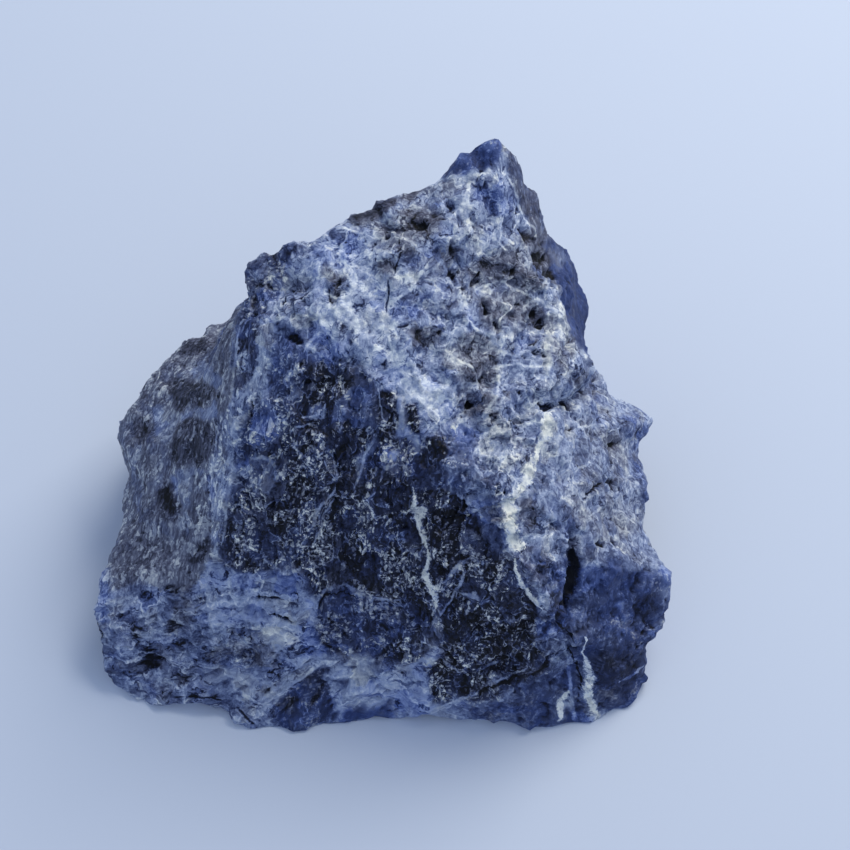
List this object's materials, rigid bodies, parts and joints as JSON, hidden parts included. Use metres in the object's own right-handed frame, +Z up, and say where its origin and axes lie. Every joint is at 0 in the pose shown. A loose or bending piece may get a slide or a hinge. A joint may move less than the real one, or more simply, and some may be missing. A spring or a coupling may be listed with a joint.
{
  "type": "sodalite specimen",
  "caption": "Rough hand specimen of deep blue sodalite with white veins, broken on every side, that lies on a flat fracture.",
  "frame": {"origin": "middle of the stone's outline, on the surface that it lies on", "axes": "+Z up from the flat fracture that the stone lies on; +X to the right as the dark cleavage face looks at you, along the longest side; +Y from that face towards the crest and the back wall"},
  "size_m": [0.064, 0.0546, 0.0443],
  "materials": {
    "sodalite": "Rough broken rock: dark navy cleavage face with small glints, pale blue and whitish granular rock around it, and cream-white veins."
  },
  "bodies": {
    "root": {"stone": "sodalite"}
  },
  "joints": []
}
